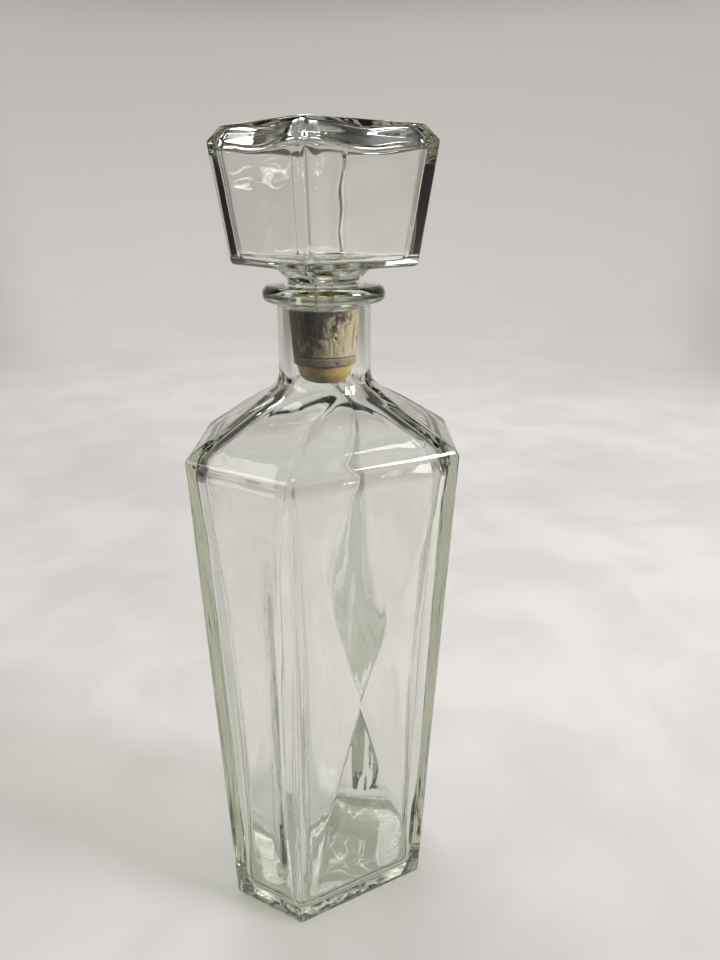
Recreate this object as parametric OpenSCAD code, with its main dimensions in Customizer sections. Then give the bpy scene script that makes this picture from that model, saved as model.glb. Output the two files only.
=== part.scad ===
// Glass decanter: a six-sided flask with a round neck, closed by a hollow glass
// stopper whose short glass peg carries a cork sleeve.
// Frame: +Z up, origin at the middle of the underside, the two wide faces at -Y and +Y.

/* [Flask body] */
// Height of the rim, where the side faces meet the shoulder
rim_z = 186; // [182:0.5:190]
// Half width of a wide face at the rim
rim_w = 31.2; // [24:0.1:36]
// Distance from the axis to a wide face at the rim
rim_d = 37; // [30:0.1:42]
// Distance from the axis to a side corner at the rim
rim_t = 50.8; // [44:0.1:58]
// Half width of a wide face at the base
base_w = 27.4; // [20:0.1:31]
// Distance from the axis to a wide face at the base
base_d = 25.7; // [20:0.1:30]
// Distance from the axis to a side corner at the base
base_t = 42.8; // [34:0.1:48]
// How far the middle of a wide face is pressed in
wide_press = 7; // [0:0.1:9]
// How far the middle of a narrow face is pressed in
narrow_press = 5.6; // [0:0.1:7]
// Height of the pressed-in points, as a share of the rim height
press_share = 0.49; // [0.4:0.01:0.6]
// Width cut from each side of an outer corner
corner_cut = 0.8; // [0.3:0.1:2]
// Width of the chamfer around the underside
foot_cut = 1.6; // [0.5:0.1:2.5]

/* [Glass thickness] */
// Thickness of the side walls
wall = 3.2; // [2.5:0.1:4]
// Thickness of the bottom at its edge
floor_t = 6; // [4:0.1:9]
// Width of the thick glass left along each inner corner
rib_cut = 8; // [4:0.1:10]
// Height of the hollow under the bottle
punt_h = 1.6; // [0.5:0.1:2.5]

/* [Neck] */
// Outside diameter of the neck
neck_od = 30.8; // [28:0.1:34]
// Diameter of the bore that takes the cork
bore_d = 23.2; // [20:0.1:25]
// Height of the mouth
mouth_z = 238.2; // [225:0.1:260]
// Outside diameter of the ring around the mouth
ring_od = 40; // [36:0.5:44]
// Thickness of the ring around the mouth
ring_t = 5.4; // [4:0.1:8]
// Height at which the sloping shoulder would reach the neck, without the hollow curve between them
neck_foot_z = 206; // [203:0.1:209]
// Radius of the hollow curve at the foot of the neck
foot_curve = 7; // [4:0.1:9]

/* [Stopper block] */
// Side of the block at its underside
block_low = 43.6; // [36:0.2:48]
// Side of the block at the top of its walls
block_high = 52; // [46:0.5:58]
// Side of the flat top
block_top = 45.4; // [38:0.2:48]
// Height of the walls of the block
block_h = 36.9; // [28:0.1:44]
// Height of the sloping edge around the top
bevel_h = 4.6; // [3:0.1:8]
// Gap between the mouth and the underside of the block
block_gap = 5.8; // [4:0.1:8]
// Angle by which the block is turned from the wide faces of the flask
block_turn = 10; // [0:1:45]
// Rounding of the block's edges
block_round = 1.4; // [0.8:0.1:2.5]
// Glass thickness of the block
block_wall = 3; // [2.5:0.1:4]

/* [Peg and cork] */
// Radius of the glass collar in the mouth
collar_r = 11.4; // [10:0.05:11.5]
// Radius of the collar where it spreads out under the block
collar_flare_r = 14.6; // [12.5:0.1:17]
// Diameter of the glass peg
peg_d = 12; // [9:0.1:14]
// Diameter of the blow hole through the peg
blow_hole_d = 4.4; // [3:0.1:6]
// Distance from the mouth down to the top of the cork
cork_sink = 7.2; // [4:0.1:10]
// Length of the cork sleeve
cork_h = 15.2; // [12:0.1:20]
// Thickness of the cork disc below the sleeve
disc_h = 2.7; // [2:0.1:4]
// Length of the straight part at the top of the cork
cork_land = 3; // [1:0.1:6]
// Radial gap between the cork and the bore
cork_gap = 0.05; // [0.01:0.01:0.1]
// Radius of the cork at its lower end
cork_low_r = 10.3; // [9.5:0.1:11]
// Thickness of the glue between peg and cork
glue_t = 0.4; // [0.2:0.05:0.6]
// Radius of the amber tip at its top
tip_r = 9.5; // [7:0.1:10]
// Radius of the amber tip at its end
tip_end_r = 6; // [4:0.1:8]
// Length of the amber tip
tip_h = 7.2; // [5:0.1:10]

/* [Hidden] */
$fn = 96;
eps = 0.02;
arc_steps = 10;

neck_r = neck_od / 2;
bore_r = bore_d / 2;
ring_r = ring_od / 2;
ring_z = mouth_z - ring_t;
press_z = rim_z * press_share;
block_z = mouth_z + block_gap;
wall_top_z = block_z + block_h;
cork_top_z = mouth_z - cork_sink;
disc_top_z = cork_top_z - cork_h;
tip_top_z = disc_top_z - disc_h;
tip_end_z = tip_top_z - tip_h;
cork_r = bore_r - cork_gap;
peg_r = peg_d / 2;
peg_end_z = tip_top_z - tip_h / 2;
sleeve_r = peg_r + glue_t;

// A section of the flask is [w, d, t]: half width of the wide faces, distance of the
// wide faces from the axis, distance of the two side corners from the axis.
rim_sec = [rim_w, rim_d, rim_t];
base_sec = [base_w, base_d, base_t];

// Slant length of a narrow face in a section
function slant(s) = norm([s[2] - s[0], s[1]]);

// The section with all its sides moved inwards
function inset(s, by) =
    let (t = s[2] - by * slant(s) / s[1])
    [t - (s[2] - s[0]) * (s[1] - by) / s[1], s[1] - by, t];

// The section between base and rim at a height
function sec_at(z) = base_sec + (rim_sec - base_sec) * z / rim_z;

// The section whose wide and narrow sides all lie at one distance from the axis
function foot_sec(dist) =
    let (t = dist * slant(rim_sec) / rim_d)
    [t - (rim_t - rim_w) * dist / rim_d, dist, t];

// Its six corners, anticlockwise from the front left one
function corners(s) = [[-s[0], -s[1]], [s[0], -s[1]], [s[2], 0], [s[0], s[1]], [-s[0], s[1]], [-s[2], 0]];

// Twelve points: each corner is cut off by a short side
function ring_points(s, cut, z) =
    let (c = corners(s))
    [for (k = [0:5], side = [-1, 1])
        let (way = c[(k + side + 6) % 6] - c[k], p = c[k] + way * cut / norm(way))
        [p[0], p[1], z]];

// Middle of a side, moved towards the axis
function pressed(s, k, by, z) =
    let (c = corners(s), m = (c[k] + c[(k + 1) % 6]) / 2, e = c[(k + 1) % 6] - c[k], p = m + [-e[1], e[0]] * by / norm(e))
    [p[0], p[1], z];

// Closed flask shape. Its points are four rings of twelve and the six pressed points.
module flask_shape(foot, low, low_z, high, high_z, top, top_z, foot_z, cut, press_sec, mid_z) {
    rings = concat(
        ring_points(foot, cut, foot_z), ring_points(low, cut, low_z),
        ring_points(high, cut, high_z), ring_points(top, cut / 2, top_z));
    mids = [for (k = [0:5]) pressed(press_sec, k, k % 3 == 0 ? wide_press : narrow_press, mid_z)];
    function at(ring, i) = ring * 12 + (i + 12) % 12;
    strips = [for (k = [0:5], r = [0:2]) each [
        [at(r, 2 * k), at(r + 1, 2 * k), at(r + 1, 2 * k + 1)],
        [at(r, 2 * k), at(r + 1, 2 * k + 1), at(r, 2 * k + 1)]]];
    sides = [for (k = [0:5], r = [0, 2]) each [
        [at(r, 2 * k + 1), at(r + 1, 2 * k + 1), at(r + 1, 2 * k + 2)],
        [at(r, 2 * k + 1), at(r + 1, 2 * k + 2), at(r, 2 * k + 2)]]];
    stars = [for (k = [0:5]) let (m = 48 + k, a = at(1, 2 * k + 1), b = at(1, 2 * k + 2),
            c = at(2, 2 * k + 2), d = at(2, 2 * k + 1))
        each [[m, b, a], [m, c, b], [m, d, c], [m, a, d]]];
    ends = [[for (i = [0:11]) at(0, i)], [for (i = [11:-1:0]) at(3, i)]];
    polyhedron(points = concat(rings, mids), faces = concat(strips, sides, stars, ends), convexity = 6);
}

module flask_outside() {
    flask_shape(
        inset(base_sec, foot_cut), sec_at(foot_cut), foot_cut, rim_sec, rim_z,
        foot_sec(neck_r - 0.4), neck_foot_z, 0, corner_cut, sec_at(press_z), press_z);
}

module flask_inside() {
    low_z = floor_t + 3;
    high_z = rim_z - wall / 2;
    flask_shape(
        inset(sec_at(floor_t), wall + 4), inset(sec_at(low_z), wall), low_z, inset(sec_at(high_z), wall), high_z,
        foot_sec(bore_r), neck_foot_z - wall / 2, floor_t, rib_cut, inset(sec_at(press_z), wall), press_z);
}

// Outline of the neck: a hollow curve up from the shoulder, the straight neck and the ring
module neck_outline() {
    lip = ring_t / 2;
    curve_r = neck_r + foot_curve;
    curve_z = neck_foot_z + foot_curve * 0.4;
    polygon(concat(
        [[bore_r - 1, neck_foot_z - 6], [curve_r - foot_curve * cos(50), curve_z - foot_curve * sin(50)]],
        [for (i = [1:arc_steps]) let (a = 50 - 50 * i / arc_steps)
            [curve_r - foot_curve * cos(a), curve_z - foot_curve * sin(a)]],
        [[neck_r, ring_z - 1], [neck_r + 1, ring_z]],
        [for (i = [0:arc_steps]) let (a = -90 + 180 * i / arc_steps)
            [ring_r - lip + lip * cos(a), ring_z + lip + lip * sin(a)]],
        [[bore_r - 1, mouth_z]]));
}

// The bore, opening a little at the mouth and spreading out under the neck
module bore_outline() {
    polygon([[0, neck_foot_z - 8], [bore_r + 5, neck_foot_z - 7], [bore_r + 1.5, neck_foot_z - 3], [bore_r, neck_foot_z],
        [bore_r, mouth_z - 1.2], [bore_r + 1.2, mouth_z + eps], [0, mouth_z + eps]]);
}

module bottle() {
    color([0.86, 0.9, 0.87, 0.45]) difference() {
        union() {
            flask_outside();
            rotate_extrude() neck_outline();
        }
        flask_inside();
        rotate_extrude() bore_outline();
        resize([2 * base_t - 14, 2 * base_d - 12, 2 * punt_h]) sphere(r = 10, $fn = 32);
    }
}

// A flat square slab with rounded corners, used to shape the block
module slab(side, z, r) {
    for (x = [-1, 1], y = [-1, 1])
        translate([x * (side / 2 - r), y * (side / 2 - r), z]) sphere(r = r, $fn = 16);
}

module block_outside() {
    r = block_round;
    hull() {
        slab(block_low, block_z + r, r);
        slab(block_high, wall_top_z, r);
        slab(block_top, wall_top_z + bevel_h - r, r);
    }
}

module block_inside() {
    r = block_round * 2;
    hull() {
        slab(block_low - 2 * block_wall, block_z + block_wall + r, r);
        slab(block_high - 2 * block_wall, wall_top_z - 2, r);
        slab(block_top - 2 * block_wall - 2, wall_top_z + bevel_h - block_wall - r, r);
    }
}

module stopper_block() {
    color([0.86, 0.9, 0.87, 0.45]) rotate([0, 0, block_turn]) difference() {
        union() {
            block_outside();
            rotate_extrude() polygon([[0, peg_end_z], [peg_r - 1, peg_end_z], [peg_r, peg_end_z + 1], [peg_r, cork_top_z],
                [collar_r, cork_top_z], [collar_r, mouth_z + 0.4], [collar_flare_r, mouth_z + 3.6],
                [collar_flare_r - 0.6, block_z + 1], [0, block_z + 1]]);
        }
        block_inside();
        translate([0, 0, peg_end_z - eps]) cylinder(d = blow_hole_d, h = block_z + block_wall + 2 - peg_end_z);
    }
}

// Outline of the whole cork between two heights
function cork_r_at(z) =
    z > cork_top_z - cork_land ? cork_r
    : cork_low_r + (cork_r - cork_low_r) * (z - tip_top_z) / (cork_top_z - cork_land - tip_top_z);

module cork_sleeve() {
    color("tan") rotate_extrude() polygon([[sleeve_r, disc_top_z], [cork_r_at(disc_top_z), disc_top_z],
        [cork_r, cork_top_z - cork_land], [cork_r, cork_top_z - 0.5], [cork_r - 0.5, cork_top_z], [sleeve_r, cork_top_z]]);
}

module cork_end_disc() {
    color("burlywood") rotate_extrude() polygon([[sleeve_r, tip_top_z], [cork_low_r - 0.4, tip_top_z],
        [cork_r_at(tip_top_z + 0.4), tip_top_z + 0.4], [cork_r_at(disc_top_z), disc_top_z], [sleeve_r, disc_top_z]]);
}

module peg_glue() {
    color("goldenrod") translate([0, 0, tip_top_z]) difference() {
        cylinder(r = sleeve_r, h = cork_top_z - tip_top_z);
        translate([0, 0, -1]) cylinder(r = peg_r, h = cork_top_z - tip_top_z + 2);
    }
}

module resin_tip() {
    color("orange") difference() {
        rotate_extrude() polygon([[0, tip_end_z], [tip_end_r - 1, tip_end_z], [tip_end_r, tip_end_z + 0.6],
            [(tip_r + tip_end_r) / 2 + 0.8, (tip_top_z + tip_end_z) / 2], [tip_r, tip_top_z - 0.8], [tip_r - 0.6, tip_top_z],
            [0, tip_top_z]]);
        rotate_extrude() polygon([[0, peg_end_z], [peg_r - 1, peg_end_z], [peg_r, peg_end_z + 1], [peg_r, tip_top_z + 1],
            [0, tip_top_z + 1]]);
    }
}

bottle();
stopper_block();
cork_sleeve();
cork_end_disc();
peg_glue();
resin_tip();
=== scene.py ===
"""Looks of a glass decanter with a hollow glass stopper on a cork.

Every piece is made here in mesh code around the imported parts: the flask and the stopper block as
lofted glass with real wall thickness, the pitted cork, its end disc, the glue and the amber tip.
"""
import math

import bpy
import numpy as np
from bpy.props import FloatProperty, FloatVectorProperty, IntProperty, PointerProperty
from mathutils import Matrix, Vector


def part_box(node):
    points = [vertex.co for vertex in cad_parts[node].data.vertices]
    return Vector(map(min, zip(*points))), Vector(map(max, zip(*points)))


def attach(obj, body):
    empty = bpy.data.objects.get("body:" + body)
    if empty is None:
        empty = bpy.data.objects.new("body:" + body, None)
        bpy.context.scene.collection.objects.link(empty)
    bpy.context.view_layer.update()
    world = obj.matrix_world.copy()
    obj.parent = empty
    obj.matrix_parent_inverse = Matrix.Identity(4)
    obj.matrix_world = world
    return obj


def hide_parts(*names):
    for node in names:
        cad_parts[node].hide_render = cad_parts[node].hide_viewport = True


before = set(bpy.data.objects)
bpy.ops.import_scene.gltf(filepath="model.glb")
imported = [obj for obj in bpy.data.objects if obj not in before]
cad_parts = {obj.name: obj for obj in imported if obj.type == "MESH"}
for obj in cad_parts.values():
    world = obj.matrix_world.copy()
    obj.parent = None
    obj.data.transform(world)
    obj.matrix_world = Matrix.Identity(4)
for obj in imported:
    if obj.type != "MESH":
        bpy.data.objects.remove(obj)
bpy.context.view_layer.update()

bl_info = {
    "name": "Glass Decanter",
    "version": (1, 0, 0),
    "blender": (4, 5, 0),
    "location": "View3D > Sidebar > Decanter",
    "description": "Makes a six-sided glass decanter with a cork-sleeved hollow stopper",
    "category": "Object",
}

MM = 0.001
QUARTER = math.pi / 2
BOTTLE_BODY, STOPPER_BODY = "bottle", "stopper"


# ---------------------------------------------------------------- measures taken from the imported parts

def node_points(node):
    """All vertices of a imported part, one row each."""
    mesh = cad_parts[node].data
    found = np.zeros(len(mesh.vertices) * 3, np.float32)
    mesh.vertices.foreach_get("co", found)
    return found.reshape(-1, 3).astype(float)


def measured_flask():
    """The flask's main sections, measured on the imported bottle."""
    points = node_points("bottle")
    reach = np.abs(points)
    rim_z = points[reach[:, 0].argmax(), 2]
    at_rim = reach[np.abs(points[:, 2] - rim_z) < 0.5 * MM]
    foot = reach[(points[:, 2] < 3 * MM)]
    body = reach[(points[:, 2] > 0.3 * rim_z) & (points[:, 2] < 0.7 * rim_z)]
    middle = body[body[:, 0] < MM]
    return {
        "rim_z": rim_z,
        "press_z": middle[0, 2],
        "rim": section_of(at_rim),
        "foot": section_of(foot[foot[:, 2] > 1.2 * MM]),
        "pressed_y": middle[:, 1].max(),
        "mouth_z": points[:, 2].max(),
    }


def section_of(ring):
    """Half width of the wide faces, their distance from the axis, and that of the side corners."""
    front = ring[ring[:, 1] > ring[:, 1].max() - 0.2 * MM]
    side = ring[:, 0].max()
    return np.array([front[:, 0].max(), ring[:, 1].max(), side])


def measured_turn():
    """How far the stopper block is turned from the flask's wide faces."""
    points = node_points("stopper_block")
    top = points[points[:, 2] > points[:, 2].max() - 8 * MM]
    far = top[np.hypot(top[:, 0], top[:, 1]).argmax()]
    return math.degrees(math.atan2(far[1], far[0])) % 90 - 45


FLASK = measured_flask()
BLOCK_TURN = measured_turn()
MOUTH_Z = FLASK["mouth_z"]
STOPPER_LOW, STOPPER_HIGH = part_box("stopper_block")
SLEEVE_LOW, SLEEVE_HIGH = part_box("cork_sleeve")
DISC_LOW, DISC_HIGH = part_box("cork_end_disc")
TIP_LOW, TIP_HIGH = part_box("resin_tip")
GLUE_LOW, GLUE_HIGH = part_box("peg_glue")


# ---------------------------------------------------------------- settings

def length(name, text, value, top=0.3):
    return FloatProperty(
        name=name, description=text, default=value, min=0.0, max=top, subtype="DISTANCE", unit="LENGTH")


def share(name, text, value, top=1.0):
    return FloatProperty(name=name, description=text, default=value, min=0.0, max=top, subtype="FACTOR")


def tint(name, text, value):
    return FloatVectorProperty(
        name=name, description=text, default=value, size=3, min=0.0, max=1.0, subtype="COLOR")


class DecanterFlaskSettings(bpy.types.PropertyGroup):
    """Sizes of the flask"""

    rim_round: length("Rim Rounding", "Softness of the edge between sides and shoulder", 2.2 * MM)
    corner_round: length("Corner Rounding", "Radius of the upright outer corners", 1.5 * MM)
    foot_round: length("Foot Rounding", "Radius of the edge around the underside", 3.4 * MM)
    neck_r: length("Neck Radius", "Outside radius of the neck", 15.4 * MM)
    bore_r: length("Bore Radius", "Radius of the bore that takes the cork", 11.6 * MM)
    ring_r: length("Ring Radius", "Outside radius of the ring around the mouth", 20 * MM)
    ring_t: length("Ring Thickness", "Thickness of the ring around the mouth", 5.4 * MM)
    shoulder_z: length("Shoulder Top", "Height at which the shoulder would meet the neck", 206 * MM)
    wall: length("Wall", "Thickness of the glass along the borders of the faces", 4.3 * MM)
    floor_t: length("Floor", "Thickness of the glass under the hollow", 3.6 * MM)
    punt: length("Punt", "Height of the hollow under the foot", 1.6 * MM)
    inner_round: length(
        "Inner Corner Rounding", "Radius of the upright corners inside, at the middle height", 11.0 * MM)
    crease: share("Crease", "Softness of the folds in the pressed faces", 0.05)
    inner_press: share(
        "Inner Hollow", "Depth of the soft hollows inside as a share of the pressed faces", 0.62)
    ripple: length("Ripple", "Height of the waves in the inner surface", 0.09 * MM)
    streak: length("Streaks", "Height of the upright streaks in the thick corners", 0.17 * MM)


class DecanterStopperSettings(bpy.types.PropertyGroup):
    """Sizes of the stopper"""

    block_low: length("Underside", "Half side of the block at its underside", 21.8 * MM)
    block_high: length("Upper Edge", "Half side of the block at the top of its walls", 26 * MM)
    block_top: length("Top Face", "Half side of the flat top", 22.7 * MM)
    bevel_h: length("Bevel", "Height of the sloping edge around the top", 4.6 * MM)
    gap: length("Gap", "Distance between the mouth and the block", 5.8 * MM)
    wall: length("Wall", "Thickness of the block's glass", 2.2 * MM)
    collar_r: length("Collar", "Radius of the glass collar above the cork", 11.35 * MM)
    flare_r: length("Flare", "Radius of the collar under the block", 14.6 * MM)
    peg_r: length("Peg", "Radius of the glass peg", 6 * MM)
    hole_r: length("Blow Hole", "Radius of the hole through the peg", 2.2 * MM)
    ripple: length("Ripple", "Height of the waves in the inner surface", 0.07 * MM)
    sag: length("Sag", "Extra glass at the top of the walls between the corners", 1.6 * MM)


class DecanterCorkSettings(bpy.types.PropertyGroup):
    """Sizes and colours of the cork, the glue and the amber tip"""

    pits: IntProperty(
        name="Pits", description="Number of pores in the side of the cork", default=150, min=0, max=600)
    pit_depth: length("Pit Depth", "Depth of the deepest pores", 0.55 * MM)
    light: tint("Light Cork", "Colour of the palest cork", (0.96, 0.82, 0.58))
    disc: tint("Disc", "Colour of the duller end disc", (0.48, 0.37, 0.26))
    dark: tint("Dark Cork", "Colour of the darker grain", (0.22, 0.125, 0.06))
    # The dark colour of both the wine staining and the painted shade on the cork's left side.
    stain_and_shade: tint("Stain", "Colour of the wine stain", (0.018, 0.011, 0.008))
    amber: tint("Amber", "Colour of the tip below the cork", (1.0, 0.61, 0.08))


class DecanterGlassSettings(bpy.types.PropertyGroup):
    """Finish of the glass"""

    ior: FloatProperty(
        name="Refraction", description="Index of refraction of soda glass", default=1.5, min=1.0, max=2.0)
    depth_tint: tint("Depth Tint", "Colour that thick glass takes on", (0.60, 0.63, 0.50))
    density: FloatProperty(
        name="Tint Strength", description="How fast the tint builds up", default=36.0, min=0.0)
    shadow: tint("Shadow Tint", "Light that one surface lets through into a shadow", (0.90, 0.91, 0.885))


class DecanterStageSettings(bpy.types.PropertyGroup):
    """Camera, floor and lights"""

    distance: length("Distance", "Level distance from the camera to the neck's axis", 0.2589, 5.0)
    height: length("Height", "Height of the camera above the floor", 0.2637, 5.0)
    sideways: length("Sideways", "How far the camera stands to the right of the axis", 0.0118, 1.0)
    turn: FloatProperty(
        name="Turn", description="Angle of the view round the decanter",
        default=math.radians(28.9), subtype="ANGLE")
    pitch: FloatProperty(
        name="Pitch", description="How far the camera looks down",
        default=math.radians(19.8), subtype="ANGLE")
    lens: FloatProperty(
        name="Lens", description="Focal length for a 36 mm long side",
        default=29.1, subtype="DISTANCE_CAMERA")
    floor_tint: tint("Floor", "Colour of the floor", (0.68, 0.66, 0.64))
    wall_tint: tint(
        "Backdrop", "Colour of the far floor and the lower part of the backdrop", (0.64, 0.61, 0.585))
    # Painted shade: the backdrop's sides and top are coloured darker, standing in for the dim parts of a
    # room.
    flank_shade_tint: tint(
        "Backdrop Sides", "Colour of the backdrop at the left and right, out of view", (0.30, 0.28, 0.26))
    top_shade_tint: tint("Backdrop Top", "Colour of the top of the backdrop, above the view", (0.16, 0.145, 0.13))


# ---------------------------------------------------------------- outlines and lofts

def soft_min(a, b, k):
    """The smaller of two values, blended where they are closer than k."""
    h = np.maximum(k - np.abs(a - b), 0) / k
    return np.minimum(a, b) - h * h * k / 4


def soft_max(a, b, k):
    return -soft_min(-a, -b, k)


def smooth_step(t):
    t = np.clip(t, 0, 1)
    return t * t * (3 - 2 * t)


def column(values):
    return np.asarray(values, float).reshape(-1, 1)


class Outline:
    """Rounded outlines with two wide and four narrow faces, one for each height.

    wide and narrow are the faces' distances from the axis, tilt is the angle of the narrow faces'
    normals, and rounding the radius of the corners. With no tilt it is a rounded rectangle, and with
    a rounding as big as both distances it is a circle.
    """

    def __init__(self, wide, narrow, tilt, rounding):
        self.wide, self.narrow, self.tilt = column(wide), column(narrow), column(tilt)
        self.rounding = np.minimum(column(rounding), np.minimum(self.wide, self.narrow))
        cos, sin = np.cos(self.tilt), np.sin(self.tilt)
        self.tip_x = (self.narrow - self.rounding) / cos
        self.corner_y = self.wide - self.rounding
        self.corner_x = np.maximum((self.narrow - self.rounding - self.corner_y * sin) / cos, 0)

    def keys(self):
        """Angles at which the faces and corners of a quarter begin and end."""
        r, cos, sin = self.rounding, np.cos(self.tilt), np.sin(self.tilt)
        first = np.arctan2(r * sin, self.tip_x + r * cos)
        second = np.arctan2(self.corner_y + r * sin, self.corner_x + r * cos)
        third = np.arctan2(self.corner_y + r, self.corner_x)
        zero = np.zeros_like(first)
        return np.hstack([zero, first, second, third, zero + QUARTER])

    def reach(self, angle):
        """Distance from the axis to the outline in each direction of the quarter."""
        keys = self.keys()
        x, y = np.cos(angle), np.sin(angle)
        tiny = 1e-9

        def arc(cx, cy):
            along = cx * x + cy * y
            return along + np.sqrt(np.maximum(self.rounding ** 2 - cx ** 2 - cy ** 2 + along ** 2, 0))

        flat_narrow = self.narrow / np.maximum(x * np.cos(self.tilt) + y * np.sin(self.tilt), tiny)
        flat_wide = self.wide / np.maximum(y, tiny)
        found = np.where(angle <= keys[:, 1:2], arc(self.tip_x, 0 * self.tip_x), flat_narrow)
        found = np.where(angle > keys[:, 2:3], arc(self.corner_x, self.corner_y), found)
        return np.where(angle > keys[:, 3:4], flat_wide, found)


def spaced_angles(keys, even, weight, counts):
    """Angles through one quarter: closer at the corners where weight is 0, evenly shared where it is 1."""
    weight = column(weight)
    keys = keys * (1 - weight) + np.asarray(even) * weight
    parts = []
    for i, count in enumerate(counts):
        if count:
            steps = np.arange(count) / count
            parts.append(keys[:, i:i + 1] + (keys[:, i + 1:i + 2] - keys[:, i:i + 1]) * steps)
    parts.append(keys[:, -1:])
    return np.hstack(parts)


def all_round(x, y):
    """Mirrors one quarter of each ring into whole rings."""
    turned = slice(None, 0, -1)
    return (
        np.hstack([x[:, :-1], -x[:, turned], -x[:, :-1], x[:, turned]]),
        np.hstack([y[:, :-1], y[:, turned], -y[:, :-1], -y[:, turned]]),
    )


def rounded_path(corners, step):
    """A path of (reach, height) through corners (reach, height, bend radius), with its bends as arcs."""
    points = [np.array(c[:2], float) for c in corners]
    path = [points[0]]
    for i in range(1, len(points) - 1):
        before, here, after = points[i - 1], points[i], points[i + 1]
        way_in, way_out = here - before, after - here
        room = 0.48 * min(np.linalg.norm(way_in), np.linalg.norm(way_out))
        way_in, way_out = way_in / np.linalg.norm(way_in), way_out / np.linalg.norm(way_out)
        turn = math.acos(max(-1.0, min(1.0, float(way_in @ way_out))))
        bend = min(corners[i][2] * math.tan(turn / 2), room)
        if turn < 1e-3 or bend < 1e-6:
            path.append(here)
            continue
        count = max(3, int(turn / math.radians(14)) + 1)
        for t in np.linspace(0, 1, count + 1):
            a, b = here - way_in * bend, here + way_out * bend
            k = math.cos(turn / 2)
            weights = np.array([(1 - t) ** 2, 2 * k * t * (1 - t), t ** 2])
            path.append((weights[0] * a + weights[1] * here + weights[2] * b) / weights.sum())
    path.append(points[-1])
    dense = [path[0]]
    for a, b in zip(path[:-1], path[1:]):
        count = max(1, int(np.linalg.norm(b - a) / step))
        dense.extend(a + (b - a) * (j + 1) / count for j in range(count))
    return np.array(dense)


def waves(points, seed, size, count=14):
    """Smooth unevenness between about -1 and 1, with waves about size long."""
    chance = np.random.default_rng(seed)
    total = np.zeros(points.shape[:-1])
    for _ in range(count):
        way = chance.normal(size=3)
        way = way / np.linalg.norm(way) * 2 * math.pi / (size * chance.uniform(0.6, 1.8))
        total += np.sin(points @ way + chance.uniform(0, 2 * math.pi))
    return total / math.sqrt(count)


def loft(name, rings, material, closed_ends=True):
    """A closed mesh over rings of points, each end closed by a fan."""
    ring_count, around = rings.shape[:2]
    points = rings.reshape(-1, 3)
    i = np.arange(ring_count - 1)[:, None] * around
    j = np.arange(around)[None, :]
    k = (j + 1) % around
    quads = np.stack([i + j, i + k, i + around + k, i + around + j], -1).reshape(-1, 4).tolist()
    fans = []
    if closed_ends:
        first, last = len(points), len(points) + 1
        points = np.vstack([points, rings[0].mean(0), rings[-1].mean(0)])
        tail = (ring_count - 1) * around
        fans = [[first, (n + 1) % around, n] for n in range(around)]
        fans += [[last, tail + n, tail + (n + 1) % around] for n in range(around)]
    return finished_mesh(name, points, quads + fans, material)


def finished_mesh(name, points, faces, material):
    mesh = bpy.data.meshes.new(name)
    mesh.from_pydata(points.tolist(), [], faces)
    mesh.validate()
    mesh.polygons.foreach_set("use_smooth", [True] * len(mesh.polygons))
    mesh.materials.append(material)
    mesh.update()
    piece = bpy.data.objects.new(name, mesh)
    bpy.context.scene.collection.objects.link(piece)
    return piece


def hand_over(piece, body, node):
    """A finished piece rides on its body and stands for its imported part."""
    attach(piece, body)
    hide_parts(node)


# ---------------------------------------------------------------- shader helpers

class Socket:
    """A shader value on which sums are written as plain Python expressions."""

    def __init__(self, tree, link):
        self.tree, self.link = tree, link

    def maths(self, operation, *values):
        return self.tree.add("ShaderNodeMath", {"operation": operation}, dict(enumerate(values)))["Value"]

    def __add__(self, other):
        return self.maths("ADD", self, other)

    def __sub__(self, other):
        return self.maths("SUBTRACT", self, other)

    def __rsub__(self, other):
        return self.maths("SUBTRACT", other, self)

    def __mul__(self, other):
        return self.maths("MULTIPLY", self, other)

    def __truediv__(self, other):
        return self.maths("DIVIDE", self, other)

    __radd__, __rmul__ = __add__, __mul__

    def ramp(self, low, high):
        """0 up to low and 1 from high on, smoothly in between; high may be the smaller one."""
        settings = {"interpolation_type": "SMOOTHSTEP"}
        if low <= high:
            values = {"Value": self, "From Min": low, "From Max": high}
            return self.tree.add("ShaderNodeMapRange", settings, values)["Result"]
        return 1 - self.ramp(high, low)


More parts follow.
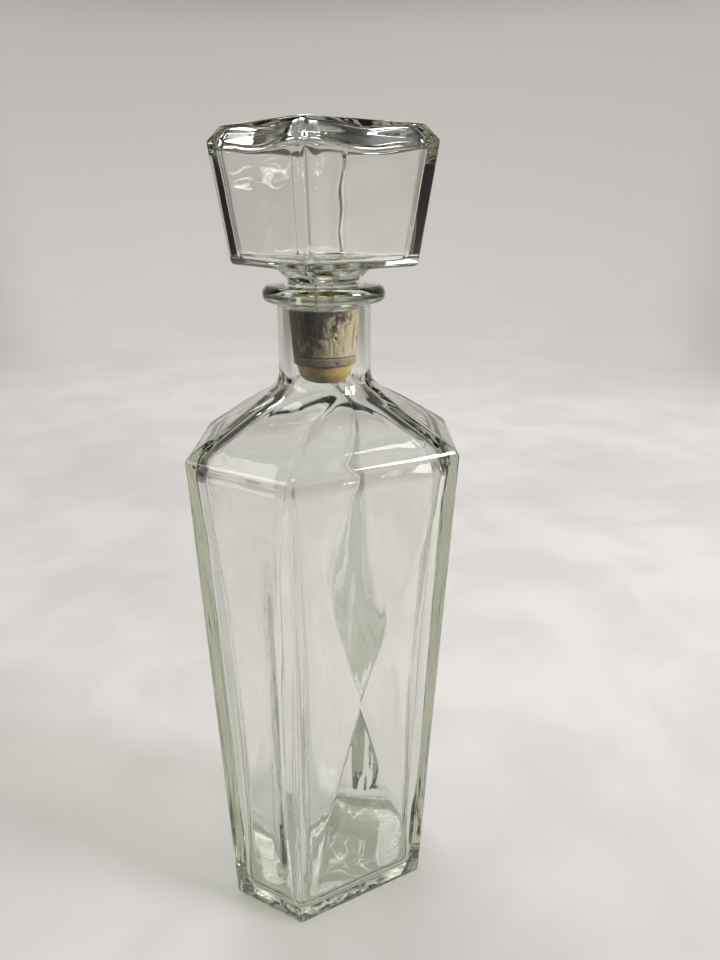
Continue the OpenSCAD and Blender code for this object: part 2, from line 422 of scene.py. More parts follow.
class Shader:
    """A material or world node tree that is filled by calls."""

    def __init__(self, owner):
        owner.use_nodes = True
        self.tree = owner.node_tree
        self.tree.nodes.clear()

    def add(self, kind, settings=None, values=None):
        """One node of a kind: its settings first, then the values or links of its sockets."""
        node = self.tree.nodes.new(kind)
        for key, value in (settings or {}).items():
            setattr(node, key, value)
        for key, value in (values or {}).items():
            if isinstance(value, Socket):
                self.tree.links.new(value.link, node.inputs[key])
            else:
                node.inputs[key].default_value = value
        return {s.name: Socket(self, s) for s in reversed(node.outputs) if s.enabled}

    def mix(self, factor, a, b):
        """Colour a turning into colour b."""
        node = self.tree.nodes.new("ShaderNodeMix")
        node.data_type = "RGBA"
        for place, value in ((0, factor), (6, a), (7, b)):
            if isinstance(value, Socket):
                self.tree.links.new(value.link, node.inputs[place])
            elif place:
                node.inputs[place].default_value = (*value, 1.0)
            else:
                node.inputs[place].default_value = value
        return Socket(self, node.outputs[2])

    def stretched(self, scale):
        """Object coordinates multiplied by a scale for each axis."""
        where = self.add("ShaderNodeTexCoord")["Object"]
        return self.add("ShaderNodeVectorMath", {"operation": "MULTIPLY"}, {0: where, 1: scale})["Vector"]

    def noise(self, scale, detail=3.0, rough=0.5, stretch=(1, 1, 1), warp=0.0):
        values = {
            "Vector": self.stretched(stretch), "Scale": scale, "Detail": detail, "Roughness": rough,
            "Distortion": warp}
        return self.add("ShaderNodeTexNoise", None, values)["Fac"]

    def cells(self, scale, stretch=(1, 1, 1)):
        """Distance from the middle of the nearest of many scattered cells."""
        values = {"Vector": self.stretched(stretch), "Scale": scale}
        return self.add("ShaderNodeTexVoronoi", None, values)["Distance"]

    def bump(self, height, distance, strength=1.0):
        values = {"Height": height, "Distance": distance, "Strength": strength}
        return self.add("ShaderNodeBump", None, values)["Normal"]

    def surface(self, shader, volume=None):
        values = {"Surface": shader}
        if volume is not None:
            values["Volume"] = volume
        self.add("ShaderNodeOutputMaterial", None, values)


def clear_glass(name, seed_scale, swirl_strength):
    """Soda glass: clear, faintly grey-green where light goes a long way through it, with soft ripples."""
    look = bpy.context.scene.decanter_glass
    material = bpy.data.materials.new(name)
    shader = Shader(material)
    swirl = shader.noise(seed_scale, 2.0, 0.5, (1, 1, 0.45), 0.6)
    smears = shader.noise(55, 4.0, 0.6).ramp(0.55, 0.8)
    place = shader.add("ShaderNodeSeparateXYZ", None, {0: shader.add("ShaderNodeTexCoord")["Object"]})
    worn = place["Z"].ramp(1.6 * MM, 0.2 * MM) * shader.noise(400, 3.0, 0.6).ramp(0.3, 0.6)
    glass = shader.add("ShaderNodeBsdfPrincipled", {"distribution": "GGX"}, {
        "Base Color": (0.985, 0.99, 0.982, 1.0),
        "IOR": look.ior,
        "Transmission Weight": 1.0,
        "Roughness": smears * 0.02 + worn * 0.3,
        "Normal": shader.bump(swirl, 0.25 * MM, swirl_strength),
    })["BSDF"]
    through = shader.add("ShaderNodeBsdfTransparent", None, {"Color": (*look.shadow, 1.0)})["BSDF"]
    shadow = shader.add("ShaderNodeLightPath")["Is Shadow Ray"]
    both = shader.add("ShaderNodeMixShader", None, {0: shadow, 1: glass, 2: through})["Shader"]
    depth = {"Color": (*look.depth_tint, 1.0), "Density": look.density}
    volume = shader.add("ShaderNodeVolumeAbsorption", None, depth)["Volume"]
    shader.surface(both, volume)
    return material


# ---------------------------------------------------------------- the flask

# Columns of a quarter: side corner, narrow face in three parts, front corner, wide face in two parts
FLASK_COUNTS = (4, 8, 12, 8, 8, 11, 11)
EVEN_KEYS = (0.0, 0.10, 0.30, 0.58, 0.78, 0.98, 1.27, QUARTER)
# Depth of the narrow faces' hollows as a share of the wide faces'
NARROW_PRESS = 0.8
# Softness of the inner edge between sides and shoulder
INNER_RIM_SOFT = 9 * MM
# Height in the straight neck at which the flask's own rings end
NECK_Z = 214 * MM
# Radius of the bend between the inner sides and the floor
FLOOR_ROUND = 6.5 * MM


def tilt_of(section):
    return math.atan2(section[2] - section[0], section[1])


def narrow_of(section):
    return section[2] * math.cos(tilt_of(section))


def lerp(a, b, t):
    return a + (b - a) * t


class FlaskForm:
    """How the flask's faces run with height, outside (inset 0) or inside."""

    def __init__(self, sizes, inset, rim_soft, rounding, press):
        self.sizes, self.inset, self.rim_soft = sizes, inset, rim_soft
        self.rounding, self.press = rounding, press
        self.rim_z = FLASK["rim_z"]
        self.low_round = sizes.neck_r if inset == 0 else sizes.bore_r
        self.ends = 1.0 if inset == 0 else 0.7

    def run(self, low, high, z):
        """Distance of a face from the axis: its side, its shoulder and the neck, blended."""
        top_r = self.sizes.neck_r
        slope = (high - top_r) / (self.sizes.shoulder_z - self.rim_z)
        side_step = self.inset * math.hypot(1, (high - low) / self.rim_z)
        shoulder_step = self.inset * math.hypot(1, slope)
        side = lerp(low, high, z / self.rim_z) - side_step
        shoulder = high - (z - self.rim_z) * slope - shoulder_step
        body = soft_min(side, shoulder, self.rim_soft)
        return soft_max(body, self.low_round + 0 * z, 5.5 * MM)

    def outline(self, z):
        foot, rim = FLASK["foot"], FLASK["rim"]
        wide = self.run(foot[1], rim[1], z)
        narrow = self.run(narrow_of(foot), narrow_of(rim), z)
        tilt = lerp(tilt_of(foot), tilt_of(rim), np.clip(z / self.rim_z, 0, 1))
        near_neck = smooth_step((z - self.sizes.shoulder_z + 9 * MM) / (11 * MM))
        swell = smooth_step(1 - np.abs(z - FLASK["press_z"]) / (0.5 * self.rim_z))
        rounding = lerp(self.rounding * lerp(self.ends, 1, swell), np.minimum(wide, narrow), near_neck)
        return Outline(wide, narrow, tilt, rounding), near_neck

    def rings(self, z):
        """Whole rings at the given heights, with the faces pressed in and columns that follow the folds."""
        shape, near_neck = self.outline(z)
        z = column(z)
        rise = self.rise(z)
        angle = spaced_angles(self.fold_keys(shape, rise, z), EVEN_KEYS, near_neck, FLASK_COUNTS)
        reach = shape.reach(angle)
        x, y = reach * np.cos(angle), reach * np.sin(angle)
        x, y = self.pressed(shape, angle, x, y, rise)
        x, y = all_round(x, y)
        return np.stack([x, y, np.repeat(z, x.shape[1], 1)], -1)

    def rise(self, z):
        """0 at the height of the pressed-in points, 1 at the rim and at the foot."""
        middle = FLASK["press_z"]
        rim_end, foot_end = self.rim_z - 1.5 * MM, self.sizes.foot_round
        return np.where(z > middle, (z - middle) / (rim_end - middle), (middle - z) / (middle - foot_end))

    def narrow_face(self, shape):
        """Middle and half length of a narrow face, measured along it."""
        cos, sin = np.cos(shape.tilt), np.sin(shape.tilt)
        start = -shape.tip_x * sin
        end = -shape.corner_x * sin + shape.corner_y * cos
        return (start + end) / 2, np.maximum((end - start) / 2, MM)

    def fold_keys(self, shape, rise, z):
        """The outline's keys with the places of the folds between them."""
        keys = shape.keys()
        fold = lerp(np.clip(rise, 0.05, 0.95), 0.5, smooth_step((z - self.rim_z) / (14 * MM)))
        wide_fold = np.arctan2(shape.wide, fold * np.maximum(shape.corner_x, MM))
        middle, half = self.narrow_face(shape)
        cos, sin = np.cos(shape.tilt), np.sin(shape.tilt)
        low, high = (np.arctan2(shape.narrow * sin + a * cos, shape.narrow * cos - a * sin)
                     for a in (middle - fold * half, middle + fold * half))
        found = np.hstack([keys[:, :2], low, high, keys[:, 2:4], wide_fold, keys[:, 4:]])
        return np.maximum.accumulate(found, axis=1)

    def pressed(self, shape, angle, x, y, rise):
        keys = shape.keys()
        wide_u = np.abs(x) / np.maximum(shape.corner_x, MM)
        cos, sin = np.cos(shape.tilt), np.sin(shape.tilt)
        middle, half = self.narrow_face(shape)
        narrow_u = np.abs(-x * sin + y * cos - middle) / half
        wide_by = self.dent(wide_u, rise) * self.press[0]
        narrow_by = self.dent(narrow_u, rise) * self.press[1]
        on_wide = angle >= keys[:, 3:4]
        on_narrow = (angle >= keys[:, 1:2]) & (angle <= keys[:, 2:3])
        x = x - np.where(on_narrow, narrow_by * cos, 0)
        y = y - np.where(on_wide, wide_by, 0) - np.where(on_narrow, narrow_by * sin, 0)
        return x, y

    def dent(self, u, rise):
        """Depth of the pressed face as a share: four fields that meet in folds, or one soft hollow inside."""
        u, rise = np.minimum(u, 1.0), np.minimum(rise, 1.0)
        if self.inset:
            return ((1 - u ** 2) * (1 - rise ** 2)) ** 1.25
        most = np.maximum(u, rise)
        fold = soft_max(u, rise, self.sizes.crease * (1.02 - most) + 1e-4)
        return soft_max(1 - fold, 0 * fold, 0.05)


def scaled_rings(ring, shares, heights):
    """Copies of one ring drawn in towards the axis."""
    rings = ring[None, :, :] * np.array([1, 1, 0]) * np.asarray(shares).reshape(-1, 1, 1)
    rings[:, :, 2] = np.asarray(heights).reshape(-1, 1)
    return rings


def circle_rings(path, angle):
    """Round rings at each (radius, height) of a path, with points at the given angles."""
    r, z = path[:, :1], path[:, 1:]
    return np.stack([r * np.cos(angle), r * np.sin(angle), np.repeat(z, angle.shape[1], 1)], -1)


def neck_angles():
    quarter = spaced_angles(np.array([EVEN_KEYS]), EVEN_KEYS, [1.0], FLASK_COUNTS)
    x, y = all_round(np.cos(quarter), np.sin(quarter))
    return np.arctan2(y, x)


def flask_rings(sizes):
    rim_z, mouth = FLASK["rim_z"], MOUTH_Z
    deep = lerp(FLASK["foot"][1], FLASK["rim"][1], FLASK["press_z"] / rim_z) - FLASK["pressed_y"]
    press = np.array([deep, deep * NARROW_PRESS])
    outside = FlaskForm(sizes, 0, sizes.rim_round, sizes.corner_round, press)
    inside = FlaskForm(sizes, sizes.wall, INNER_RIM_SOFT, sizes.inner_round, press * sizes.inner_press)

    foot_r = sizes.foot_round
    turns = np.linspace(0, QUARTER, 9)
    foot_z = foot_r * (1 - np.cos(turns))
    foot_ring = outside.rings(np.array([foot_r]))[0]
    across = np.hypot(foot_ring[:, 0], foot_ring[:, 1]).mean()
    foot = scaled_rings(foot_ring, 1 - foot_r * (1 - np.sin(turns)) / across, foot_z)
    under = np.array([0.02, 0.15, 0.3, 0.45, 0.58, 0.68, 0.76, 0.8, 0.84, 0.9])
    punt = sizes.punt * smooth_step((0.84 - under) / 0.5)
    under = scaled_rings(foot_ring, under * (1 - foot_r / across), punt)

    side_z = np.concatenate([
        np.linspace(foot_r, 0.5 * rim_z, 62, endpoint=False)[1:],
        np.linspace(0.5 * rim_z, rim_z - 5 * MM, 60, endpoint=False),
        np.linspace(rim_z - 5 * MM, rim_z + 5 * MM, 22, endpoint=False),
        np.linspace(rim_z + 5 * MM, NECK_Z, 34)])
    out_rings = outside.rings(side_z)

    lip = sizes.ring_t / 2
    ring_low = mouth - sizes.ring_t
    lip_path = rounded_path([
        (sizes.neck_r, NECK_Z, 0), (sizes.neck_r, ring_low, 1.2 * MM), (sizes.ring_r, ring_low, lip * 0.98),
        (sizes.ring_r, mouth, lip * 0.98), (sizes.bore_r + 0.8 * MM, mouth, 1.0 * MM),
        (sizes.bore_r, mouth - 1.2 * MM, 1.0 * MM), (sizes.bore_r, NECK_Z, 0)], 1.7 * MM)[1:]
    lip_rings = circle_rings(lip_path, neck_angles())

    in_z = np.concatenate([
        np.linspace(NECK_Z, rim_z + 2 * MM, 34)[1:], np.linspace(rim_z + 2 * MM, rim_z - 8 * MM, 14)[1:],
        np.linspace(rim_z - 8 * MM, sizes.floor_t + FLOOR_ROUND, 84)[1:]])
    in_rings = inside.rings(in_z)
    in_across = np.hypot(in_rings[-1][:, 0], in_rings[-1][:, 1]).mean()
    bends = np.linspace(0, QUARTER, 9)[1:]
    shares = 1 - FLOOR_ROUND * (1 - np.cos(bends)) / in_across
    heights = sizes.floor_t + FLOOR_ROUND * (1 - np.sin(bends))
    bend_rings = scaled_rings(in_rings[-1], shares, heights)
    floor_s = np.array([0.9, 0.78, 0.62, 0.45, 0.3, 0.15, 0.02])
    dome = sizes.floor_t + 0.9 * MM * smooth_step((0.95 - floor_s) / 0.8)
    floor_rings = scaled_rings(in_rings[-1], floor_s * shares[-1], dome)

    inner = np.concatenate([in_rings, bend_rings, floor_rings])
    return np.concatenate([under, foot, out_rings, lip_rings, rippled(inner, sizes)])


def rippled(rings, sizes):
    """The inner surface with the slow waves that blowing leaves, and upright streaks in the thick corners."""
    fade = smooth_step((sizes.shoulder_z - 4 * MM - rings[..., 2]) / (12 * MM))
    slow = waves(rings, 11, 30 * MM) * 0.7 + waves(rings, 12, 12 * MM) * 0.25
    out = rings - rings.mean(1, keepdims=True)
    out[..., 2] = 0
    reach = np.linalg.norm(out, axis=-1, keepdims=True)
    along = out * 40 * MM / np.maximum(reach.mean(1, keepdims=True), 4 * MM)
    along[..., 2] = rings[..., 2] * 0.045
    marks = np.cumsum((0, *FLASK_COUNTS))
    thick = np.interp(np.arange(marks[-1] + 1), marks, (1, 1, 0.2, 0.2, 1, 1, 0.15, 0.05))[None, :]
    thick, _ = all_round(thick, thick)
    streaks = waves(along, 13, 5 * MM, 18) * np.abs(thick) * sizes.streak
    step = (slow * sizes.ripple + streaks * smooth_step((rings[..., 2] - 5 * MM) / (14 * MM))) * fade
    return rings + out / np.maximum(reach, MM) * step[..., None]


class DECANTER_OT_flask(bpy.types.Operator):
    """Make the glass flask"""

    bl_idname = "decanter.flask"
    bl_label = "Glass Flask"

    def execute(self, context):
        sizes = context.scene.decanter_flask
        piece = loft("glass_flask", flask_rings(sizes), clear_glass("flask_glass_look", 38, 0.25))
        hand_over(piece, BOTTLE_BODY, "bottle")
        return {"FINISHED"}


# ---------------------------------------------------------------- the stopper block

BLOCK_COUNTS = (0, 14, 10, 14)
BLOCK_EVEN = (0.0, 0.0, 0.6, 0.97, QUARTER)


def block_rings(corners, step):
    """Rings along a path whose corners are (reach, height, bend, roundness of the outline)."""
    path = rounded_path([c[:3] for c in corners], step)
    lengths = np.concatenate([[0], np.cumsum(np.linalg.norm(np.diff(path, axis=0), axis=1))])
    marks = [lengths[np.linalg.norm(path - np.array(c[:2]), axis=1).argmin()] for c in corners]
    roundness = np.interp(lengths, marks, [c[3] for c in corners])
    reach = path[:, 0]
    shape = Outline(reach, reach, 0 * reach, np.minimum(roundness, 1) * reach)
    even = smooth_step((roundness - 0.5) / 0.45)
    angle = spaced_angles(shape.keys(), BLOCK_EVEN, even, BLOCK_COUNTS)
    distance = shape.reach(angle)
    x, y = all_round(distance * np.cos(angle), distance * np.sin(angle))
    return np.stack([x, y, np.repeat(path[:, 1:], x.shape[1], 1)], -1)


def turned(rings, angle):
    cos, sin = math.cos(angle), math.sin(angle)
    x, y = rings[..., 0].copy(), rings[..., 1].copy()
    rings[..., 0], rings[..., 1] = x * cos - y * sin, x * sin + y * cos
    return rings


def stopper_rings(sizes):
    top = STOPPER_HIGH.z
    peg_end = STOPPER_LOW.z
    cork_top = SLEEVE_HIGH.z
    low = MOUTH_Z + sizes.gap
    wall_top = top - sizes.bevel_h
    wall = sizes.wall
    start = 0.2 * MM
    inner = block_rings([
        (start, top - wall - 0.6 * MM, 0, 0.2),
        (sizes.block_top - wall - 0.5 * MM, top - wall, 3.0 * MM, 0.15),
        (sizes.block_high - wall, wall_top - 1.6 * MM, 2.2 * MM, 0.24),
        (sizes.block_low - wall + 0.2 * MM, low + wall, 2.4 * MM, 0.24),
        (sizes.collar_r - 1.5 * MM, low + wall - 0.4 * MM, 4 * MM, 0.95),
        (sizes.hole_r + 1.4 * MM, low + 0.5 * MM, 2 * MM, 1),
        (sizes.hole_r, low - 4 * MM, 2 * MM, 1),
        (sizes.hole_r, peg_end + 1 * MM, 1 * MM, 1)], 0.9 * MM)
    outer = block_rings([
        (sizes.hole_r + 0.3 * MM, peg_end, 0, 1),
        (sizes.peg_r, peg_end, 1.2 * MM, 1),
        (sizes.peg_r, cork_top, 0.5 * MM, 1),
        (sizes.collar_r, cork_top + 0.05 * MM, 0.9 * MM, 1),
        (sizes.collar_r, MOUTH_Z + 1.0 * MM, 3 * MM, 1),
        (sizes.flare_r, low - 1.4 * MM, 2 * MM, 1),
        (sizes.flare_r + 1.2 * MM, low + 0.05 * MM, 0.8 * MM, 1),
        (sizes.block_low - 3.2 * MM, low, 0, 0.1),
        (sizes.block_low, low, 1.5 * MM, 0.055),
        (sizes.block_high, wall_top, 1.0 * MM, 0.05),
        (sizes.block_top, top, 1.3 * MM, 0.07),
        (start, top - 0.25 * MM, 0, 0.07)], 0.9 * MM)
    fade = smooth_step((inner[..., 2] - low - 1 * MM) / (3 * MM))[..., None]
    out = inner - inner.mean(1, keepdims=True)
    out[..., 2] = 0
    out = out / np.maximum(np.linalg.norm(out, axis=-1, keepdims=True), 4 * MM)
    height = waves(inner, 21, 16 * MM) * sizes.ripple
    inner = inner + out * height[..., None] * fade
    inner[..., 2] += waves(inner, 22, 14 * MM) * sizes.ripple * fade[..., 0]
    around = np.arctan2(inner[..., 1], inner[..., 0])
    spread = np.hypot(inner[..., 0], inner[..., 1]) / sizes.block_high
    near_top = smooth_step((inner[..., 2] - wall_top + 14 * MM) / (14 * MM))
    thick = sizes.sag * np.cos(2 * around) ** 2 * near_top
    inner[..., 2] -= thick * smooth_step((spread - 0.25) / 0.5)
    return turned(np.concatenate([inner, outer]), math.radians(BLOCK_TURN))


class DECANTER_OT_stopper(bpy.types.Operator):
    """Make the hollow glass stopper with its collar and peg"""

    bl_idname = "decanter.stopper"
    bl_label = "Glass Stopper"

    def execute(self, context):
        sizes = context.scene.decanter_stopper
        piece = loft("glass_stopper", stopper_rings(sizes), clear_glass("stopper_glass_look", 52, 0.1))
        hand_over(piece, STOPPER_BODY, "stopper_block")
        return {"FINISHED"}


# ---------------------------------------------------------------- cork, glue and amber tip

CORK_AROUND = 260


def cork_radius(z):
    """Radius of the whole cork at a height: straight at the top, then tapering."""
    top_r, low_r = SLEEVE_HIGH.x, 10.3 * MM
    land = SLEEVE_HIGH.z - 3 * MM
    return np.where(z > land, top_r, lerp(low_r, top_r, (z - DISC_LOW.z) / (land - DISC_LOW.z)))


def tube_rings(path, around=CORK_AROUND):
    angle = np.linspace(0, 2 * math.pi, around, endpoint=False)[None, :]
    return circle_rings(path, angle)


def pitted(rings, count, deepest, seed, low, high):
    """Pores and short upright cracks pressed into the outer side of the cork."""
    chance = np.random.default_rng(seed)
    outer = np.hypot(rings[..., 0], rings[..., 1])
    angle = np.arctan2(rings[..., 1], rings[..., 0])
    depth = np.zeros(outer.shape)
    for _ in range(count):
        a, z = chance.uniform(-math.pi, math.pi), chance.uniform(low, high)
        crack = chance.random() < 0.28
        wide = chance.uniform(0.12, 0.3) * MM if crack else chance.uniform(0.2, 0.55) * MM
        tall = chance.uniform(0.7, 2.6) * MM if crack else wide * chance.uniform(0.7, 1.8)
        across = ((angle - a + math.pi) % (2 * math.pi) - math.pi) * SLEEVE_HIGH.x
        shape = np.exp(-((across / wide) ** 2 + ((rings[..., 2] - z) / tall) ** 2))
        depth = np.maximum(depth, shape * deepest * chance.uniform(0.3, 1.0))
    worn = (waves(rings, seed + 1, 3.5 * MM) * 0.5 + 0.5) * 0.06 * MM
    side = smooth_step((outer - 8.5 * MM) / MM)
    keep = 1 - (depth + np.clip(worn, 0, 0.1 * MM)) * side / np.maximum(outer, MM)
    rings = rings.copy()
    rings[..., 0] *= keep
    rings[..., 1] *= keep
    return rings


def closed_tube(name, rings, material):
    """A tube whose last ring joins its first."""
    ring_count, around = rings.shape[:2]
    i = np.arange(ring_count)[:, None]
    j = np.arange(around)[None, :]
    up, on = (i + 1) % ring_count * around, (j + 1) % around
    faces = np.stack([i * around + j, i * around + on, up + on, up + j], -1).reshape(-1, 4).tolist()
    return finished_mesh(name, rings.reshape(-1, 3), faces, material)


def cork_piece(name, low, high, inner, count, seed, material, soft):
    """One ring of cork with pores, its outer edges worn soft."""
    sleeve = GLUE_HIGH.x
    heights = np.linspace(low + soft, high - soft, max(4, int((high - low) / (0.28 * MM))))
    side = [(float(cork_radius(z)), float(z)) for z in heights]
    path = [(sleeve, low), (side[0][0] - 3 * soft, low), (side[0][0] - soft, low + 0.12 * soft), *side,
            (side[-1][0] - soft, high - 0.12 * soft), (side[-1][0] - 3 * soft, high), (sleeve, high)]
    rings = tube_rings(np.array(path))
    return closed_tube(name, pitted(rings, count, inner, seed, low, high), material)


def cork_look(name, stained, ground):
    """Aged cork: upright grain, dark pores and cracks, wine that has stained it from the top down, and
    painted shade that darkens its left side.
    """
    look = bpy.context.scene.decanter_cork
    material = bpy.data.materials.new(name)
    shader = Shader(material)
    grain = shader.noise(900, 5.0, 0.62, (1, 1, 0.2), 0.5)
    patch = shader.noise(210, 4.0, 0.6, (1, 1, 0.7), 0.6)
    fleck = shader.noise(520, 4.0, 0.65, (1, 1, 0.6), 0.4)
    crack = shader.noise(420, 2.0, 0.5, (1, 1, 0.09), 0.5).ramp(0.60, 0.68)
    pores = shader.cells(330, (1, 1, 0.8)).ramp(0.30, 0.16) * shader.noise(260, 2.0).ramp(0.5, 0.58)
    place = shader.add("ShaderNodeSeparateXYZ", None, {0: shader.add("ShaderNodeTexCoord")["Object"]})
    height = (place["Z"] - DISC_LOW.z) / (SLEEVE_HIGH.z - DISC_LOW.z)
    # Painted shade: this term darkens the cork towards its left side, away from the key lamp, on top of the
    # wine staining.
    side = (place["X"] * -0.92 + place["Y"] * 0.34) / SLEEVE_HIGH.x
    stain_and_shade_field = height * 0.55 + side * 0.62 + (patch - 0.5) * 1.3 + (fleck - 0.5) * 0.9
    streak = shader.noise(620, 3.0, 0.6, (1, 1, 0.12)).ramp(0.36, 0.58)
    # Mask of the wine staining from the top together with the painted shade on the left side, both in one
    # dark colour.
    stain_and_shade = stain_and_shade_field.ramp(0.24, 0.54) * (streak * 0.15 + 0.85) * stained
    rim = (height + side * 0.06 + (patch - 0.5) * 0.22).ramp(0.90, 0.98) * stained
    rust = (height + (patch - 0.5) * 0.6).ramp(0.62, 0.88) * fleck.ramp(0.5, 0.62) * stained
    colour = shader.mix(grain.ramp(0.34, 0.7), ground, lerp(np.array(ground), np.array(look.dark), 0.32))
    colour = shader.mix(patch.ramp(0.52, 0.78) * 0.3, colour, look.dark)
    colour = shader.mix(crack * 0.62, colour, look.dark)
    colour = shader.mix(rust * 0.85, colour, (0.17, 0.05, 0.025))
    colour = shader.mix(stain_and_shade * 0.97, colour, look.stain_and_shade)
    colour = shader.mix(rim * 0.8, colour, look.stain_and_shade)
    colour = shader.mix(pores * 0.92, colour, (0.022, 0.013, 0.008))
    height_map = grain * 0.6 - pores * 1.4 - crack * 0.7
    cork = shader.add("ShaderNodeBsdfPrincipled", None, {
        "Base Color": colour,
        "Roughness": 0.6 + grain * 0.25,
        "Normal": shader.bump(height_map, 0.2 * MM, 0.8),
        "IOR": 1.4,
    })["BSDF"]
    shader.surface(cork)
    return material


def amber_look():
    """Cloudy amber resin that lets light glow through."""
    look = bpy.context.scene.decanter_cork
    material = bpy.data.materials.new("amber_resin_look")
    shader = Shader(material)
    cloud = shader.noise(260, 3.0, 0.5)
    colour = shader.mix(cloud.ramp(0.35, 0.7), look.amber, (1.0, 0.73, 0.19))
    resin = shader.add("ShaderNodeBsdfPrincipled", None, {
        "Base Color": colour,
        "Roughness": 0.18 + cloud * 0.2,
        "IOR": 1.45,
        "Transmission Weight": 0.04,
        "Subsurface Weight": 0.4,
        "Subsurface Radius": (2.4, 1.4, 0.4),
        "Subsurface Scale": 1.5 * MM,
        "Normal": shader.bump(cloud, 0.1 * MM, 0.4),
    })["BSDF"]
    shader.surface(resin)
    return material


class DECANTER_OT_cork(bpy.types.Operator):
    """Make the cork sleeve and its end disc"""

    bl_idname = "decanter.cork"
    bl_label = "Cork"

    def execute(self, context):
        look = context.scene.decanter_cork
        gap = 0.12 * MM
        sleeve = cork_piece(
            "cork_sleeve_pitted", SLEEVE_LOW.z + gap / 2, SLEEVE_HIGH.z, look.pit_depth, look.pits, 5,
            cork_look("cork_look", 1.0, look.light), 0.35 * MM)
        hand_over(sleeve, STOPPER_BODY, "cork_sleeve")
        disc = cork_piece(
            "cork_disc_pitted", DISC_LOW.z, DISC_HIGH.z - gap / 2, look.pit_depth * 0.7, look.pits // 6, 8,
            cork_look("cork_disc_look", 0.55, look.disc), 0.22 * MM)
        hand_over(disc, STOPPER_BODY, "cork_end_disc")
        return {"FINISHED"}


class DECANTER_OT_resin(bpy.types.Operator):
    """Make the glue round the peg and the amber tip"""

    bl_idname = "decanter.resin"
    bl_label = "Glue and Amber Tip"

    def execute(self, context):
        resin = amber_look()
        peg_r = GLUE_HIGH.x - 0.4 * MM
        end_r = 6.0 * MM
        high, low = TIP_HIGH.z, TIP_LOW.z
        wall = rounded_path([
            (peg_r + 0.02 * MM, high, 0), (TIP_HIGH.x, high - 0.1 * MM, 0.6 * MM),
            (TIP_HIGH.x - 0.7 * MM, high - 3.4 * MM, 4 * MM), (end_r + 0.8 * MM, low + 0.5 * MM, 2 * MM),
            (end_r - 1.2 * MM, low, 1.5 * MM), (0.4 * MM, low + 0.2 * MM, 0)], 0.5 * MM)
        socket_low = STOPPER_LOW.z - 0.05 * MM
        socket = rounded_path([
            (0.4 * MM, socket_low, 0), (peg_r + 0.02 * MM, socket_low, 1.2 * MM),
            (peg_r + 0.02 * MM, high, 0)], 0.6 * MM)
        rings = tube_rings(np.concatenate([socket, wall[1:]])[::-1], 128)
        bumpy = waves(rings, 31, 5 * MM)[..., None] * 0.06 * MM
        heights = rings[..., 2:]
        rings = rings + bumpy * np.array([0, 0, 1]) * (heights < high - MM) * (heights > low + 0.2 * MM)
        tip = loft("amber_tip", rings, resin)
        hand_over(tip, STOPPER_BODY, "resin_tip")
        film = np.array([(peg_r + 0.01 * MM, z) for z in np.linspace(GLUE_HIGH.z, GLUE_LOW.z, 24)]
                        + [(GLUE_HIGH.x - 0.01 * MM, z) for z in np.linspace(GLUE_LOW.z, GLUE_HIGH.z, 24)])
        glue = closed_tube("glue_film", tube_rings(film, 96), resin)
        hand_over(glue, STOPPER_BODY, "peg_glue")
        return {"FINISHED"}


# ---------------------------------------------------------------- stage

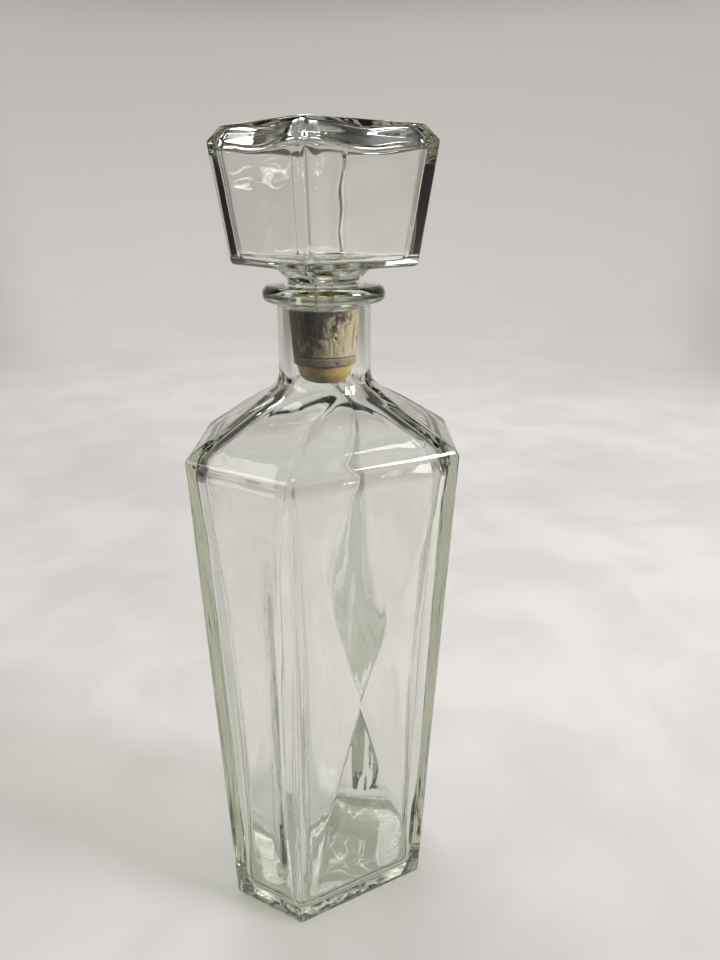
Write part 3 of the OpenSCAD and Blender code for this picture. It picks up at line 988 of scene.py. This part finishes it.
class DECANTER_OT_stage(bpy.types.Operator):
    """Make the floor, the lights and the camera"""

    bl_idname = "decanter.stage"
    bl_label = "Stage"

    def execute(self, context):
        look = context.scene.decanter_stage
        self.make_floor(look)
        self.make_world(context.scene)
        self.make_lights()
        self.make_camera(context.scene, look)
        self.set_light_paths(context.scene)
        return {"FINISHED"}

    @staticmethod
    def make_floor(look):
        """A floor that sweeps up all round into a pale backdrop, with painted shade darkening the backdrop at
        the sides of the view and at its top.
        """
        material = bpy.data.materials.new("stage_look")
        shader = Shader(material)
        drift = shader.noise(2.4, 2.0, 0.5, (1, 1, 1), 0.4)
        mottle = shader.noise(13.0, 3.0, 0.5, (1, 1, 1), 0.5)
        pale = shader.mix(drift.ramp(0.35, 0.65), look.floor_tint, tuple(c * 0.86 for c in look.floor_tint))
        pale = shader.mix(mottle.ramp(0.36, 0.64) * 0.3, pale, tuple(c * 0.7 for c in look.floor_tint))
        place = shader.add("ShaderNodeTexCoord")["Object"]
        away = shader.add("ShaderNodeVectorMath", {"operation": "LENGTH"}, {0: place})["Value"]
        height = shader.add("ShaderNodeSeparateXYZ", None, {0: place})["Z"]
        pale = shader.mix(away.ramp(0.35, 2.0), pale, look.wall_tint)
        right = Vector((math.cos(look.turn), -math.sin(look.turn), 0))
        across = shader.add(
            "ShaderNodeVectorMath", {"operation": "DOT_PRODUCT"}, {0: place, 1: right})["Value"]
        # Painted shade: the backdrop darkens at the left and right of the view.
        flank = across.maths("ABSOLUTE", across) / away
        pale = shader.mix(flank.ramp(0.40, 0.62) * away.ramp(0.8, 1.6), pale, look.flank_shade_tint)
        # Painted shade: the backdrop darkens towards its top.
        pale = shader.mix(height.ramp(0.66, 1.05), pale, look.top_shade_tint)
        cloth = shader.add("ShaderNodeBsdfPrincipled", None, {"Base Color": pale, "Roughness": 0.85})
        shader.surface(cloth["BSDF"])
        path = rounded_path([(2.5, 2.0, 0), (1.9, 0, 0.8), (0.0001, 0, 0)], 0.06)
        floor = loft("studio_floor", tube_rings(path, 96), material, closed_ends=False)

    @staticmethod
    def make_world(scene):
        world = bpy.data.worlds.new("studio_world")
        scene.world = world
        shader = Shader(world)
        way = shader.add("ShaderNodeSeparateXYZ", None, {0: shader.add("ShaderNodeTexCoord")["Generated"]})
        strength = 0.06 + way["Z"].ramp(0.6, 0.95) * 0.3
        sky = {"Color": (0.86, 0.88, 0.92, 1.0), "Strength": strength}
        background = shader.add("ShaderNodeBackground", None, sky)["Background"]
        shader.add("ShaderNodeOutputWorld", None, {"Surface": background})

    @staticmethod
    def make_lights():
        """Soft lamps: name, place, aim, width, height, power and colour."""
        lamps = (
            ("key_window", (1.1, -1.2, 1.2), (0, 0, 0.12), 0.45, 0.5, 38, (1.0, 0.99, 0.97)),
            ("soft_window", (0.3, 1.3, 1.7), (0, 0, 0.12), 1.5, 0.8, 22, (1.0, 1.0, 1.0)),
            ("left_window", (-1.45, 0.25, 0.75), (0, 0, 0.15), 0.4, 0.9, 5, (1.0, 0.97, 0.92)),
        )
        for name, place, aim, width, height, power, colour in lamps:
            light = bpy.data.lights.new(name, "AREA")
            light.shape, light.size, light.size_y = "RECTANGLE", width, height
            light.energy, light.color = power, colour
            lamp = bpy.data.objects.new(name, light)
            lamp.location = place
            lamp.rotation_euler = (Vector(aim) - Vector(place)).to_track_quat("-Z", "Y").to_euler()
            bpy.context.scene.collection.objects.link(lamp)

    @staticmethod
    def make_camera(scene, look):
        ahead = Vector((math.sin(look.turn), math.cos(look.turn), 0))
        right = Vector((math.cos(look.turn), -math.sin(look.turn), 0))
        data = bpy.data.cameras.new("view")
        data.lens, data.sensor_width, data.sensor_fit = look.lens, 36.0, "AUTO"
        data.clip_start = 0.01
        camera = bpy.data.objects.new("view", data)
        camera.location = right * look.sideways - ahead * look.distance + Vector((0, 0, look.height))
        aim = ahead * math.cos(look.pitch) - Vector((0, 0, math.sin(look.pitch)))
        camera.rotation_euler = aim.to_track_quat("-Z", "Y").to_euler()
        scene.collection.objects.link(camera)
        scene.camera = camera

    @staticmethod
    def set_light_paths(scene):
        """Light may pass through many glass surfaces."""
        scene.cycles.max_bounces = 28
        scene.cycles.transmission_bounces = 28
        scene.cycles.glossy_bounces = 8
        scene.cycles.transparent_max_bounces = 24
        scene.cycles.caustics_refractive = scene.cycles.caustics_reflective = False
        scene.view_settings.view_transform = "Standard"


class DECANTER_PT_panel(bpy.types.Panel):
    """Decanter tools"""

    bl_label = "Glass Decanter"
    bl_idname = "DECANTER_PT_panel"
    bl_space_type = "VIEW_3D"
    bl_region_type = "UI"
    bl_category = "Decanter"

    def draw(self, context):
        for operator in OPERATORS:
            self.layout.operator(operator.bl_idname)
        for group in SETTINGS:
            box = self.layout.box()
            settings = getattr(context.scene, group)
            for name in settings.bl_rna.properties.keys():
                if name not in ("rna_type", "name"):
                    box.prop(settings, name)


SETTINGS = {
    "decanter_flask": DecanterFlaskSettings,
    "decanter_stopper": DecanterStopperSettings,
    "decanter_cork": DecanterCorkSettings,
    "decanter_glass": DecanterGlassSettings,
    "decanter_stage": DecanterStageSettings,
}
OPERATORS = (DECANTER_OT_stage, DECANTER_OT_flask, DECANTER_OT_stopper, DECANTER_OT_cork, DECANTER_OT_resin)
CLASSES = (*SETTINGS.values(), *OPERATORS, DECANTER_PT_panel)


def register():
    for cls in CLASSES:
        bpy.utils.register_class(cls)
    for name, group in SETTINGS.items():
        setattr(bpy.types.Scene, name, PointerProperty(type=group))


def unregister():
    for name in SETTINGS:
        delattr(bpy.types.Scene, name)
    for cls in reversed(CLASSES):
        bpy.utils.unregister_class(cls)


def main():
    register()
    bpy.ops.decanter.stage()
    bpy.ops.decanter.flask()
    bpy.ops.decanter.stopper()
    bpy.ops.decanter.cork()
    bpy.ops.decanter.resin()


if __name__ == "__main__":
    main()
